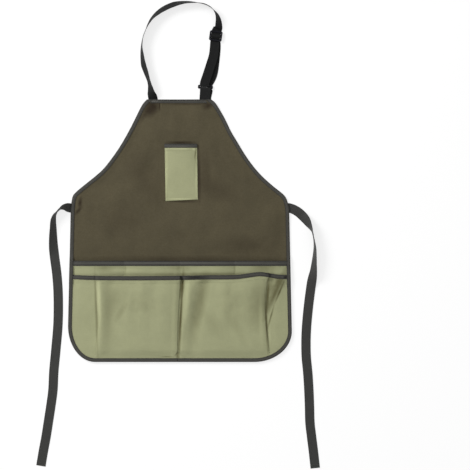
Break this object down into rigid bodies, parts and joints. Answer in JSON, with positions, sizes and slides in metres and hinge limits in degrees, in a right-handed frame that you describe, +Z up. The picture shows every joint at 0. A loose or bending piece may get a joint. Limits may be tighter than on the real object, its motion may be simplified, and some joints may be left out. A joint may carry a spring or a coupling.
{
  "type": "gardening apron",
  "caption": "Bib apron of coated canvas with a looped neck strap, two waist ties, a breast pocket and layered bellows pockets across the skirt, lying flat.",
  "frame": {"origin": "on the surface that the apron lies on, under the panel at the waist line", "axes": "+X across the apron to the wearer's left (the picture's right), +Y from the hem to the neck, +Z up, out of the front side"},
  "size_m": [0.7546, 1.2443, 0.025],
  "materials": {
    "canvas": "matte",
    "pocket_cloth": "matte",
    "edge_tape": "matte",
    "tie_tape": "matte",
    "strap_webbing": "satin",
    "plastic": "gloss"
  },
  "bodies": {
    "root": {"body_panel": "canvas", "top_binding": "edge_tape", "side_binding": "edge_tape", "rear_pocket": "pocket_cloth", "rear_pocket_binding": "edge_tape", "front_pocket": "pocket_cloth", "front_pocket_binding": "edge_tape", "breast_pocket": "pocket_cloth", "breast_pocket_binding": "edge_tape", "neck_strap": "strap_webbing", "strap_slider": "plastic", "strap_ring": "plastic", "ring_tab": "strap_webbing", "waist_tie_left": "tie_tape", "waist_tie_right": "tie_tape"}
  },
  "joints": []
}
